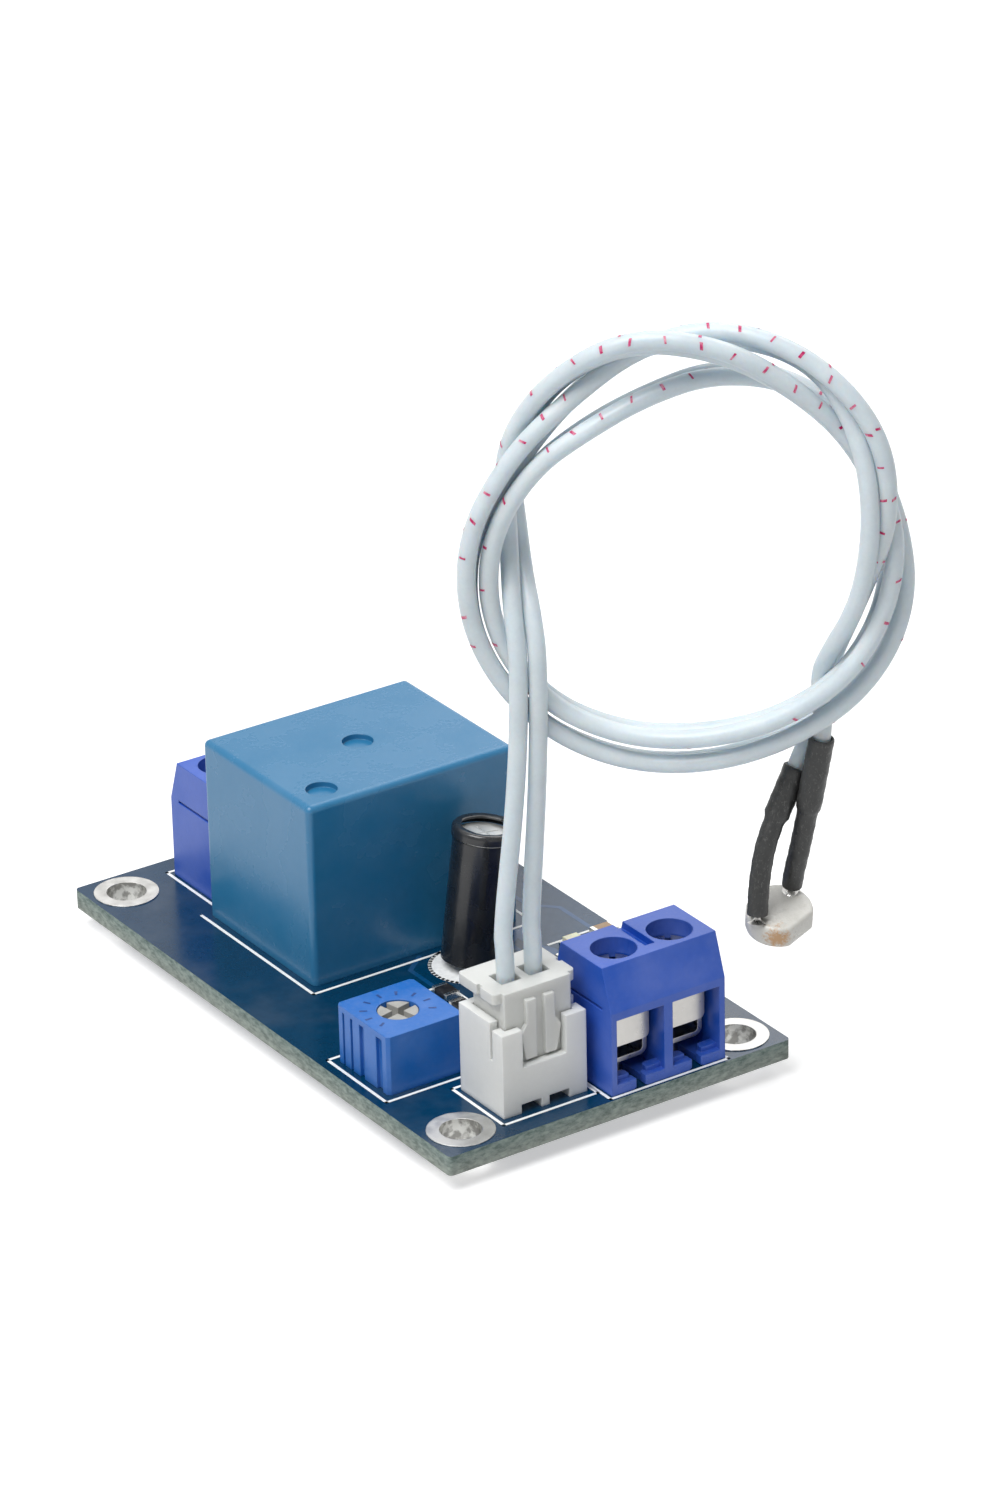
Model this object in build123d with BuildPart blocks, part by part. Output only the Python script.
# Light sensor module: a relay board that switches a load when the light on a photo resistor changes.
# The photo resistor hangs on a coiled twin lead that plugs into the board.
# Millimetres. X runs along the board's short side, Y along its long side, Z up from the tips of the pins.
import math
import os

from build123d import *

os.makedirs("parts", exist_ok=True)

BOTTOM = (Align.CENTER, Align.CENTER, Align.MIN)
TOP = (Align.CENTER, Align.CENTER, Align.MAX)

# Circuit board
BOARD_WIDTH = 31.0
BOARD_LENGTH = 54.0
BOARD_THICKNESS = 1.6
BOARD_CORNER_RADIUS = 0.4
PIN_LENGTH_BELOW = 1.5
HOLE_INSET = 3.0
HOLE_RADIUS = 1.6
HOLE_PAD_RADIUS = 2.6
PLATING = 0.08
BOARD_BOTTOM = PIN_LENGTH_BELOW
BOARD_TOP = BOARD_BOTTOM + BOARD_THICKNESS
HALF_WIDTH = BOARD_WIDTH / 2
HALF_LENGTH = BOARD_LENGTH / 2
HOLE_SPACING_X = BOARD_WIDTH - 2 * HOLE_INSET
HOLE_SPACING_Y = BOARD_LENGTH - 2 * HOLE_INSET

# Solder joints
DRILL_CLEARANCE = 0.15
SOLDER_PAD = 0.5
SOLDER_HEIGHT = 0.9
SOLDER_NECK = 0.12

# Relay, placed by the left and front edges of its cover
RELAY_FROM_LEFT = 6.4
RELAY_FROM_FRONT = 28.43
RELAY_LENGTH = 19.0
RELAY_WIDTH = 15.4
RELAY_HEIGHT = 15.3
RELAY_WALL = 0.8
RELAY_EDGE = 0.5
RELAY_GAP = 0.05
RELAY_X = RELAY_FROM_LEFT + RELAY_LENGTH / 2 - HALF_WIDTH
RELAY_Y = RELAY_FROM_FRONT + RELAY_WIDTH / 2 - HALF_LENGTH
RELAY_FRAME = Plane((RELAY_X, RELAY_Y, BOARD_TOP))
DIMPLE_RADIUS = 1.25
DIMPLE_DEPTH = 0.45
DIMPLE_PLACES = [(0.1, 0.2), (-6.75, -5.3)]
RELAY_BASE_LIFT = 0.4
RELAY_BASE_THICKNESS = 1.4
RELAY_BASE_TOP = RELAY_BASE_LIFT + RELAY_BASE_THICKNESS
RELAY_CAVITY_X = RELAY_LENGTH / 2 - RELAY_WALL
RELAY_CAVITY_Y = RELAY_WIDTH / 2 - RELAY_WALL

# Relay magnet, in the relay's own frame: it fills the room between the coil pins and the two strips
YOKE_THICKNESS = 1.0
YOKE_TOP = 11.5
YOKE_FROM_WALL = 1.8
YOKE_BACK = YOKE_FROM_WALL - RELAY_CAVITY_X
STRIP_FROM_WALL = 0.8
STRIP_X = RELAY_CAVITY_X - STRIP_FROM_WALL
BOBBIN_SPACE = 4.6
BOBBIN_SIDE = min(STRIP_X - YOKE_BACK - YOKE_THICKNESS, 2 * RELAY_CAVITY_Y) - BOBBIN_SPACE
BOBBIN_FROM_YOKE = 0.9
BOBBIN_X = YOKE_BACK + YOKE_THICKNESS + BOBBIN_FROM_YOKE + BOBBIN_SIDE / 2
YOKE_FROM_SIDE = 1.0
YOKE_WIDTH = BOBBIN_SIDE - 2 * YOKE_FROM_SIDE
BOBBIN_FLANGE = 0.7
BOBBIN_TOP = 10.6
WINDING_FROM_SIDE = 0.3
WINDING_RADIUS = BOBBIN_SIDE / 2 - WINDING_FROM_SIDE
CORE_SHARE = 5 / 23
CORE_RADIUS = CORE_SHARE * BOBBIN_SIDE
BOBBIN_HUB_SHARE = 1.35
BOBBIN_HUB_RADIUS = BOBBIN_HUB_SHARE * CORE_RADIUS
CORE_RIVET_SHARE = 0.6
CORE_RIVET_RADIUS = CORE_RIVET_SHARE * CORE_RADIUS
POLE_SHARE = 1.5
POLE_RADIUS = POLE_SHARE * CORE_RADIUS
POLE_THICKNESS = 0.6
MAGNET_FIT = 0.05
POLE_TOP = BOBBIN_TOP + POLE_THICKNESS
BOBBIN_BOTTOM = RELAY_BASE_TOP + YOKE_THICKNESS + MAGNET_FIT

# Relay contacts, in the relay's own frame
ARMATURE_GAP = 0.4
ARMATURE_THICKNESS = 1.0
ARMATURE_FROM_BACK = 0.3
ARMATURE_BACK = YOKE_BACK + ARMATURE_FROM_BACK
ARMATURE_LIP = 0.7
ARMATURE_TIP = BOBBIN_X + POLE_RADIUS + ARMATURE_LIP
ARMATURE_BOTTOM = POLE_TOP + ARMATURE_GAP
LEAF_THICKNESS = 0.2
LEAF_WIDTH = 3.0
CONTACT_FROM_STRIP = 1.0
CONTACT_X = STRIP_X - CONTACT_FROM_STRIP
CONTACT_RADIUS = 0.9
CONTACT_HALF_HEIGHT = 0.45
CONTACT_TRAVEL = 0.65
FIXED_BUTTON = 0.4
STRIP = 0.4
STRIP_WIDTH = 1.2
FIXED_PIN_FROM_WALL = 1.3
FIXED_PIN_Y = RELAY_CAVITY_Y - FIXED_PIN_FROM_WALL
COIL_PIN_FROM_YOKE = 2.3
COIL_PIN_X = YOKE_BACK + COIL_PIN_FROM_YOKE
COIL_PIN_FROM_BOBBIN = 1.4
COIL_PIN_Y = BOBBIN_SIDE / 2 + COIL_PIN_FROM_BOBBIN
COIL_PIN_RADIUS = 0.3
COM_PIN_X = YOKE_BACK + YOKE_THICKNESS / 2
LEAF_BOTTOM = ARMATURE_BOTTOM + ARMATURE_THICKNESS
LEAF_TIP = CONTACT_X + CONTACT_RADIUS
LEAF_MIDDLE = LEAF_BOTTOM + LEAF_THICKNESS / 2
CLOSED_GAP = 0.05
NC_BUTTON_BOTTOM = LEAF_MIDDLE + CONTACT_HALF_HEIGHT + CLOSED_GAP
NO_BUTTON_TOP = LEAF_MIDDLE - CONTACT_HALF_HEIGHT - CONTACT_TRAVEL

# Screw terminals, each pole in the frame of its entry face
POLE_PITCH = 5.08
TERMINAL_DEPTH = 7.5
TERMINAL_HEIGHT = 10.3
TERMINAL_SHOULDER = 6.9
TERMINAL_FRONT_SLOPE = 1.15
TERMINAL_BACK_SLOPE = 1.0
TERMINAL_END_WALL = 0.1
ENTRY_SILL = 0.55
ENTRY_TOP = 6.25
FRONT_WALL = 0.8
POCKET_TOP = 8.6
SCREW_DEPTH = 3.4
WELL_CLEARANCE = 0.12
SILL_SLOT_HALF = 0.55
GUSSET_HEIGHT = 1.5
GUSSET_DEPTH = 1.2
TOP_SLOT_WIDTH = 0.9
TOP_SLOT_LENGTH = 4.2
TOP_SLOT_DEPTH = 0.6
SIDE_GROOVE = 0.2
SIDE_GROOVE_HEIGHT = 0.25

# Metalwork of a pole
CAGE_HALF_WIDTH = 1.85
CAGE_WALL = 0.4
CAGE_DEPTH = 3.0
CAGE_BOTTOM = 1.5
CAGE_TOP = 6.7
CAGE_BEND = 0.7
CAGE_ROOM = 0.3
CAGE_FRONT = SCREW_DEPTH - CAGE_DEPTH / 2
COLLAR_HEIGHT = 0.8
COLLAR_WALL = 0.15
TERMINAL_PIN_RADIUS = 0.5
GUARD_THICKNESS = 0.3
GUARD_HALF_WIDTH = 1.75
GUARD_GAP = 0.2
GUARD_BOTTOM = 3.15
GUARD_TOP = 6.75
GUARD_FOOT_CLEARANCE = 0.15
GUARD_CORNER = 0.5
SCREW_SHAFT_RADIUS = 1.2
SCREW_HEAD_RADIUS = 1.65
SCREW_HEAD_BOTTOM = 7.9
SCREW_HEAD_HEIGHT = 1.05
SCREW_SLOT_WIDTH = 0.5
SCREW_SLOT_DEPTH = 0.5
SCREW_SLOT_TURN = 60.0
SCREW_HOLE_CLEARANCE = 0.06
SCREW_TIP_GAP = 0.05
SCREW_TIP = GUARD_BOTTOM + GUARD_THICKNESS + SCREW_TIP_GAP
SCREW_HOLE_RADIUS = SCREW_SHAFT_RADIUS + SCREW_HOLE_CLEARANCE
WELL_RADIUS = SCREW_HEAD_RADIUS + WELL_CLEARANCE
ENTRY_HALF_WIDTH = CAGE_HALF_WIDTH + CAGE_ROOM
POCKET_BACK = CAGE_FRONT + CAGE_DEPTH + CAGE_ROOM
GUARD_BACK = CAGE_FRONT - GUARD_GAP

# Supply terminal on the near edge, load terminal on the far edge
SUPPLY_POLES = 2
SUPPLY_FROM_LEFT = 20.08
SUPPLY_FROM_FRONT = 0.5
LOAD_POLES = 3
LOAD_FROM_LEFT = 15.5
LOAD_FROM_RELAY = 0.12
SUPPLY_FRAME = Plane(
    (SUPPLY_FROM_LEFT - HALF_WIDTH, SUPPLY_FROM_FRONT - HALF_LENGTH, BOARD_TOP),
    x_dir=(1, 0, 0),
    z_dir=(0, 0, 1),
)
LOAD_FRAME = Plane(
    (
        LOAD_FROM_LEFT - HALF_WIDTH,
        RELAY_Y + RELAY_WIDTH / 2 + LOAD_FROM_RELAY + TERMINAL_DEPTH,
        BOARD_TOP,
    ),
    x_dir=(-1, 0, 0),
    z_dir=(0, 0, 1),
)

# Trimmer, placed by its left and front faces
TRIMMER_FROM_LEFT = 1.5
TRIMMER_FROM_FRONT = 10.4
TRIMMER_WIDTH = 6.8
TRIMMER_LENGTH = 7.0
TRIMMER_HEIGHT = 4.9
TRIMMER_LID = 0.5
TRIMMER_WALL = 0.55
TRIMMER_EDGE = 0.25
RIB_GROOVE_DEPTH = 0.3
RIB_GROOVES = [(0.9, 0.25), (2.0, 0.3), (3.4, 0.6), (5.8, 0.8)]
ROTOR_RADIUS = 1.55
ROTOR_CLEARANCE = 0.06
ROTOR_RECESS = 0.1
ROTOR_FLANGE = 0.5
ROTOR_FLANGE_HEIGHT = 0.9
ROTOR_BOTTOM = 2.4
ROTOR_SLOT_WIDTH = 0.62
ROTOR_SLOT_DEPTH = 0.9
ROTOR_SLOT_TURN = 12.0
ROTOR_OFFSET = (-0.23, -0.1)
ELEMENT_LIFT = 1.0
ELEMENT_THICKNESS = 0.8
ELEMENT_CLEARANCE = 0.1
WIPER_THICKNESS = 0.25
WIPER_DIMPLE = 0.3
WIPER_GAP = 0.05
TRIMMER_PIN_RADIUS = 0.28
TRIMMER_PIN_PITCH = 2.54
TRIMMER_X = TRIMMER_FROM_LEFT + TRIMMER_WIDTH / 2 - HALF_WIDTH
TRIMMER_Y = TRIMMER_FROM_FRONT + TRIMMER_LENGTH / 2 - HALF_LENGTH
TRIMMER_FRAME = Plane((TRIMMER_X, TRIMMER_Y, BOARD_TOP))

# Sensor header and the plug in it, in the frame of the header's front face
HEADER_FROM_LEFT = 10.2
HEADER_FROM_FRONT = 2.4
HEADER_WIDTH = 7.5
HEADER_DEPTH = 5.75
HEADER_HEIGHT = 7.4
HEADER_WALL = 0.7
HEADER_FLOOR = 1.8
WINDOW_WIDTH = 3.9
WINDOW_BOTTOM = 3.8
PILLAR_DEPTH = 1.35
PILLAR_HEIGHT = 6.9
SIDE_SLOT_WIDTH = 0.3
SIDE_SLOT_BOTTOM = 4.35
NOTCH_WIDTH = 1.8
NOTCH_HEIGHT = 0.75
NOTCH_DEPTH = 1.2
CONTACT_PITCH = 2.5
HEADER_PIN_SIDE = 0.64
HEADER_PIN_DEPTH = 3.2
HEADER_PIN_TOP = 5.6
HEADER_X = HEADER_FROM_LEFT - HALF_WIDTH
HEADER_Y = HEADER_FROM_FRONT - HALF_LENGTH
HEADER_FRAME = Plane((HEADER_X, HEADER_Y, BOARD_TOP))
PLUG_CLEARANCE = 0.1
PLUG_LIFT = 0.1
PLUG_TOP = 9.8
PLUG_FLANGE = 0.85
PLUG_FLANGE_WIDTH = 7.3
PLUG_FLANGE_FRONT = 1.2
PLUG_FLANGE_BACK = 6.0
PLUG_FLANGE_CORNER = 0.35
PLUG_FLANGE_NOTCH = 0.5
PLUG_CAVITY = 1.8
PLUG_RIB_REACH = 0.4
PLUG_RIB = [(0.4, 4.1), (1.35, 4.1), (1.8, 6.2), (1.25, 7.0)]
CRIMP_WALL = 0.2
CRIMP_CLEARANCE = 0.02
CRIMP_BOTTOM = 2.3
CRIMP_BARREL_WALL = 0.15
CRIMP_BARREL_LENGTH = 1.8

# Electrolytic capacitor, leaning a little to the right
CAP_FROM_LEFT = 18.5
CAP_FROM_FRONT = 24.6
CAP_RADIUS = 2.5
CAP_HEIGHT = 11.0
CAP_LEAN = 8.0
CAP_LIFT = 0.5
CAP_SLEEVE = 0.12
CAP_BEAD_HEIGHT = 1.6
CAP_BEAD = 0.2
CAP_EDGE = 0.35
CAP_BUNG_HEIGHT = 1.0
CAP_CAN_WALL = 0.3
CAP_LEAD_PITCH = 2.0
CAP_LEAD_RADIUS = 0.25
CAP_VENT_WIDTH = 0.15
CAP_VENT_DEPTH = 0.08
CAP_X = CAP_FROM_LEFT - HALF_WIDTH
CAP_Y = CAP_FROM_FRONT - HALF_LENGTH

# Surface mounted parts, placed from the board's left and front edges
CHIP_LENGTH = 2.0
CHIP_WIDTH = 1.25
CHIP_HEIGHT = 0.5
CHIP_END = 0.35
CHIP_LIFT = 0.05
RESISTOR_PLACES = [(13.9, 21.4, 90), (13.6, 18.6, 90), (19.2, 12.0, 90), (19.2, 15.6, 90), (20.6, 19.0, 90)]
CAPACITOR_HEIGHT = 0.8
CAPACITOR_PLACES = [(29.3, 22.2, 0), (11.2, 16.2, 90)]
LED_HEIGHT = 0.75
LED_END_HEIGHT = 0.4
LED_PLACES = [(26.4, 22.2, 0), (22.6, 22.2, 90)]
DIODE_LENGTH = 2.7
DIODE_WIDTH = 1.6
DIODE_HEIGHT = 1.1
DIODE_PLACE = (24.4, 19.0, 90)
TRANSISTOR_LENGTH = 2.9
TRANSISTOR_WIDTH = 1.3
TRANSISTOR_HEIGHT = 1.0
TRANSISTOR_PLACE = (22.6, 14.6)
IC_LENGTH = 4.9
IC_WIDTH = 3.9
IC_HEIGHT = 1.45
IC_LIFT = 0.15
IC_PLACE = (14.0, 12.0)
LEG_PITCH = 1.27
LEG_WIDTH = 0.4
LEG_THICKNESS = 0.2
LEG_REACH = 1.05
LEG_STEP = 0.35
IC_LEG_STEPS = (-1.5, -0.5, 0.5, 1.5)
TRANSISTOR_LEG_STEPS = (-0.75, 0.75)
DIODE_LEG_WIDTH = 1.3
MOULD_TAPER = 7.0

# Twin lead with the photo resistor
WIRE_RADIUS = 0.7
CRIMP_CAP = 0.5
COIL_OUTER_RADIUS = 16.5
COIL_STRAIGHT = 2.4
COIL_BAND = 3.8
COIL_HALF_DEPTH = 1.7
COIL_EDGE = 1.2
COIL_ACROSS = 12.78
COIL_UP = 33.78
LEAD_TURN = 33.42
# Points of the loose lead: across, up and behind, from the middle of the plug's top face
RISE_STRAIGHT = 4.0
LEAD_BEND_SHARE = 0.45
RISE_LEFT = [(-0.1, 13.6, -0.7), (0.35, 22.3, -0.75)]
RISE_RIGHT = [(1.42, 13.2, 0.2), (1.87, 21.0, -0.3)]
SLEEVE_LEFT_TOP = (20.44, 16.3, 1.2)
SLEEVE_LEFT_END = (17.63, 4.6, 0.3)
SLEEVE_RIGHT_TOP = (22.45, 18.3, 0.0)
SLEEVE_RIGHT_END = (20.14, 6.4, 0.0)
TAIL_LEFT_ROOT = 2.6
TAIL_RIGHT_ROOT = 1.8
SLEEVE_WIDE_RADIUS = 0.95
SLEEVE_NARROW_RADIUS = 0.76
SLEEVE_STEP = 0.46
SLEEVE_WIRE_REACH = 3.0
SENSOR_RADIUS = 2.55
SENSOR_FLAT = 2.15
SENSOR_THICKNESS = 1.8
SENSOR_RIM = 0.2
SENSOR_LEAD_RADIUS = 0.25
SENSOR_LEAD_INSERT = 0.6
SENSOR_CENTRE = (19.0, 4.5)
SENSOR_RISE = 37.0
SENSOR_TURN = 69.0

# Height of the plug's top face and the plane that the loose lead lies in
PLUG_EXIT = Vector(HEADER_X, HEADER_Y + HEADER_PIN_DEPTH, BOARD_TOP + PLUG_TOP)
LEAD_ACROSS = Vector(math.cos(math.radians(LEAD_TURN)), -math.sin(math.radians(LEAD_TURN)), 0)
LEAD_BEHIND = Vector(math.sin(math.radians(LEAD_TURN)), math.cos(math.radians(LEAD_TURN)), 0)


def lead_point(across, up, behind=0.0):
    """A point of the loose lead, from the middle of the plug's top face."""
    return PLUG_EXIT + LEAD_ACROSS * across + LEAD_BEHIND * behind + Vector(0, 0, up)


def board_place(from_left, from_front, up=0.0):
    """A point on the board's top face, from its left and front edges."""
    return Vector(from_left - HALF_WIDTH, from_front - HALF_LENGTH, BOARD_TOP + up)


def chip_plane(place):
    """The plane under a chip that lies along X, or along Y when it is turned by 90 degrees."""
    from_left, from_front, turn = place
    angle = math.radians(turn)
    return Plane(
        board_place(from_left, from_front, CHIP_LIFT),
        x_dir=(math.cos(angle), math.sin(angle), 0),
        z_dir=(0, 0, 1),
    )


def pole_places(count):
    """The middle of each pole along a terminal's row."""
    return [(index - (count - 1) / 2) * POLE_PITCH for index in range(count)]


def in_frame(frame, x, y):
    """A point of a component's own frame, as X and Y on the board."""
    point = frame.from_local_coords(Vector(x, y, 0))
    return (point.X, point.Y)


# Every pin that passes through the board: its places, and its size along X and Y
relay_contact_pins = [in_frame(RELAY_FRAME, STRIP_X + STRIP / 2, side * FIXED_PIN_Y) for side in (1, -1)]
relay_common_pins = [in_frame(RELAY_FRAME, COM_PIN_X, 0)]
relay_coil_pins = [in_frame(RELAY_FRAME, COIL_PIN_X, side * COIL_PIN_Y) for side in (1, -1)]
supply_pins = [in_frame(SUPPLY_FRAME, x, SCREW_DEPTH) for x in pole_places(SUPPLY_POLES)]
load_pins = [in_frame(LOAD_FRAME, x, SCREW_DEPTH) for x in pole_places(LOAD_POLES)]
header_pins = [in_frame(HEADER_FRAME, side * CONTACT_PITCH / 2, HEADER_PIN_DEPTH) for side in (-1, 1)]
trimmer_pins = [
    in_frame(TRIMMER_FRAME, TRIMMER_PIN_PITCH / 2, -TRIMMER_PIN_PITCH),
    in_frame(TRIMMER_FRAME, -TRIMMER_PIN_PITCH / 2, 0),
    in_frame(TRIMMER_FRAME, TRIMMER_PIN_PITCH / 2, TRIMMER_PIN_PITCH),
]
cap_pins = [(CAP_X + side * CAP_LEAD_PITCH / 2, CAP_Y) for side in (-1, 1)]
flat_pins = [(relay_contact_pins, STRIP, STRIP_WIDTH), (relay_common_pins, YOKE_THICKNESS, STRIP_WIDTH)]
square_pins = [(header_pins, HEADER_PIN_SIDE, HEADER_PIN_SIDE)]
round_pins = [
    (relay_coil_pins, COIL_PIN_RADIUS),
    (supply_pins, TERMINAL_PIN_RADIUS),
    (load_pins, TERMINAL_PIN_RADIUS),
    (trimmer_pins, TRIMMER_PIN_RADIUS),
    (cap_pins, CAP_LEAD_RADIUS),
]
drill_holes = [(places, radius + DRILL_CLEARANCE) for places, radius in round_pins]
drill_holes += [
    (places, math.hypot(size_x, size_y) / 2 + DRILL_CLEARANCE) for places, size_x, size_y in flat_pins + square_pins
]

# Circuit board with its mounting holes and pin holes
with BuildPart() as circuit_board:
    with BuildSketch(Plane.XY.offset(BOARD_BOTTOM)):
        RectangleRounded(BOARD_WIDTH, BOARD_LENGTH, BOARD_CORNER_RADIUS)
        with GridLocations(HOLE_SPACING_X, HOLE_SPACING_Y, 2, 2):
            Circle(HOLE_RADIUS + PLATING, mode=Mode.SUBTRACT)
        for places, radius in drill_holes:
            with Locations(*places):
                Circle(radius, mode=Mode.SUBTRACT)
    extrude(amount=BOARD_THICKNESS)
circuit_board.part.label = "circuit_board"
export_step(circuit_board.part, "parts/circuit_board.step")

# Plated eyelets of the four mounting holes
with BuildPart() as hole_plating:
    with BuildSketch(Plane.XY.offset(BOARD_BOTTOM - PLATING)):
        with GridLocations(HOLE_SPACING_X, HOLE_SPACING_Y, 2, 2):
            Circle(HOLE_RADIUS + PLATING)
            Circle(HOLE_RADIUS, mode=Mode.SUBTRACT)
    extrude(amount=BOARD_THICKNESS + 2 * PLATING)
    for height in (BOARD_BOTTOM - PLATING, BOARD_TOP):
        with BuildSketch(Plane.XY.offset(height)):
            with GridLocations(HOLE_SPACING_X, HOLE_SPACING_Y, 2, 2):
                Circle(HOLE_PAD_RADIUS)
                Circle(HOLE_RADIUS, mode=Mode.SUBTRACT)
        extrude(amount=PLATING)
hole_plating.part.label = "hole_plating"
export_step(hole_plating.part, "parts/hole_plating.step")

# Solder that fills each pin hole and wets the pin under the board
with BuildPart() as solder_joints:
    for places, radius in drill_holes:
        with Locations(*[(x, y, BOARD_BOTTOM) for x, y in places]):
            Cylinder(radius, BOARD_THICKNESS, align=BOTTOM)
            Cone(radius - DRILL_CLEARANCE + SOLDER_NECK, radius + SOLDER_PAD, SOLDER_HEIGHT, align=TOP)
    for places, radius in round_pins:
        with Locations(*[(x, y, 0) for x, y in places]):
            Cylinder(radius, BOARD_TOP, align=BOTTOM, mode=Mode.SUBTRACT)
    for places, size_x, size_y in flat_pins + square_pins:
        with Locations(*[(x, y, 0) for x, y in places]):
            Box(size_x, size_y, BOARD_TOP, align=BOTTOM, mode=Mode.SUBTRACT)
solder_joints.part.label = "solder_joints"
export_step(solder_joints.part, "parts/solder_joints.step")

# Relay cover: a moulded box, open below, with two round marks in its top
with BuildPart() as relay_cover:
    with BuildSketch(RELAY_FRAME):
        RectangleRounded(RELAY_LENGTH, RELAY_WIDTH, RELAY_EDGE)
    extrude(amount=RELAY_HEIGHT)
    fillet(relay_cover.faces().sort_by(Axis.Z)[-1].edges(), RELAY_EDGE)
    with BuildSketch(RELAY_FRAME):
        Rectangle(2 * RELAY_CAVITY_X, 2 * RELAY_CAVITY_Y)
    extrude(amount=RELAY_HEIGHT - RELAY_WALL, mode=Mode.SUBTRACT)
    with BuildSketch(RELAY_FRAME.offset(RELAY_HEIGHT)):
        with Locations(*DIMPLE_PLACES):
            Circle(DIMPLE_RADIUS)
    extrude(amount=-DIMPLE_DEPTH, mode=Mode.SUBTRACT)
relay_cover.part.label = "relay_cover"
export_step(relay_cover.part, "parts/relay_cover.step")

# Relay base: the moulded plate that closes the cover and holds the pins
with BuildPart() as relay_base:
    with BuildSketch(RELAY_FRAME.offset(RELAY_BASE_LIFT)):
        Rectangle(2 * (RELAY_CAVITY_X - RELAY_GAP), 2 * (RELAY_CAVITY_Y - RELAY_GAP))
        with Locations((STRIP_X + STRIP / 2, FIXED_PIN_Y), (STRIP_X + STRIP / 2, -FIXED_PIN_Y)):
            Rectangle(STRIP, STRIP_WIDTH, mode=Mode.SUBTRACT)
        with Locations((COM_PIN_X, 0)):
            Rectangle(YOKE_THICKNESS, STRIP_WIDTH, mode=Mode.SUBTRACT)
        with Locations((COIL_PIN_X, COIL_PIN_Y), (COIL_PIN_X, -COIL_PIN_Y)):
            Circle(COIL_PIN_RADIUS, mode=Mode.SUBTRACT)
    extrude(amount=RELAY_BASE_THICKNESS)
relay_base.part.label = "relay_base"
export_step(relay_base.part, "parts/relay_base.step")

# Yoke: bent iron, one leg under the bobbin and one behind it, with the common pin
yoke_side = Plane(
    RELAY_FRAME.from_local_coords(Vector(0, YOKE_WIDTH / 2, 0)), x_dir=(1, 0, 0), z_dir=(0, -1, 0)
)
YOKE_TIP = BOBBIN_X + POLE_RADIUS
with BuildPart() as relay_yoke:
    with BuildSketch(yoke_side):
        with BuildLine():
            Polyline(
                (YOKE_BACK, RELAY_BASE_TOP),
                (YOKE_TIP, RELAY_BASE_TOP),
                (YOKE_TIP, RELAY_BASE_TOP + YOKE_THICKNESS),
                (YOKE_BACK + YOKE_THICKNESS, RELAY_BASE_TOP + YOKE_THICKNESS),
                (YOKE_BACK + YOKE_THICKNESS, YOKE_TOP),
                (YOKE_BACK, YOKE_TOP),
                close=True,
            )
        make_face()
    extrude(amount=YOKE_WIDTH)
    with BuildSketch(RELAY_FRAME.offset(RELAY_BASE_TOP)):
        with Locations((BOBBIN_X, 0)):
            Circle(CORE_RIVET_RADIUS)
    extrude(amount=YOKE_THICKNESS, mode=Mode.SUBTRACT)
    with BuildSketch(RELAY_FRAME.offset(-BOARD_TOP)):
        with Locations((COM_PIN_X, 0)):
            Rectangle(YOKE_THICKNESS, STRIP_WIDTH)
    extrude(amount=BOARD_TOP + RELAY_BASE_TOP + YOKE_THICKNESS)
relay_yoke.part.label = "relay_yoke"
export_step(relay_yoke.part, "parts/relay_yoke.step")

# Bobbin: a moulded spool with square flanges
BOBBIN_HEIGHT = BOBBIN_TOP - BOBBIN_BOTTOM
with BuildPart() as relay_bobbin:
    for height in (BOBBIN_BOTTOM, BOBBIN_TOP - BOBBIN_FLANGE):
        with BuildSketch(RELAY_FRAME.offset(height)):
            with Locations((BOBBIN_X, 0)):
                RectangleRounded(BOBBIN_SIDE, BOBBIN_SIDE, BOBBIN_FLANGE)
        extrude(amount=BOBBIN_FLANGE)
    with BuildSketch(RELAY_FRAME.offset(BOBBIN_BOTTOM)):
        with Locations((BOBBIN_X, 0)):
            Circle(BOBBIN_HUB_RADIUS)
    extrude(amount=BOBBIN_HEIGHT)
    with BuildSketch(RELAY_FRAME.offset(BOBBIN_BOTTOM)):
        with Locations((BOBBIN_X, 0)):
            Circle(CORE_RADIUS + MAGNET_FIT)
    extrude(amount=BOBBIN_HEIGHT, mode=Mode.SUBTRACT)
relay_bobbin.part.label = "relay_bobbin"
export_step(relay_bobbin.part, "parts/relay_bobbin.step")

# Copper winding, a ring between the bobbin's flanges
WINDING_BOTTOM = BOBBIN_BOTTOM + BOBBIN_FLANGE + MAGNET_FIT
with BuildPart() as relay_winding:
    with BuildSketch(RELAY_FRAME.offset(WINDING_BOTTOM)):
        with Locations((BOBBIN_X, 0)):
            Circle(WINDING_RADIUS)
            Circle(BOBBIN_HUB_RADIUS + MAGNET_FIT, mode=Mode.SUBTRACT)
    extrude(amount=BOBBIN_TOP - BOBBIN_FLANGE - MAGNET_FIT - WINDING_BOTTOM)
relay_winding.part.label = "relay_winding"
export_step(relay_winding.part, "parts/relay_winding.step")

# Iron core: a rivet in the yoke, a shank in the bobbin and a wide pole on top
with BuildPart() as relay_core:
    with BuildSketch(RELAY_FRAME.offset(RELAY_BASE_TOP)):
        with Locations((BOBBIN_X, 0)):
            Circle(CORE_RIVET_RADIUS)
    extrude(amount=YOKE_THICKNESS)
    with BuildSketch(RELAY_FRAME.offset(RELAY_BASE_TOP + YOKE_THICKNESS)):
        with Locations((BOBBIN_X, 0)):
            Circle(CORE_RADIUS)
    extrude(amount=BOBBIN_TOP - RELAY_BASE_TOP - YOKE_THICKNESS)
    with BuildSketch(RELAY_FRAME.offset(BOBBIN_TOP)):
        with Locations((BOBBIN_X, 0)):
            Circle(POLE_RADIUS)
    extrude(amount=POLE_THICKNESS)
relay_core.part.label = "relay_core"
export_step(relay_core.part, "parts/relay_core.step")

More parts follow.
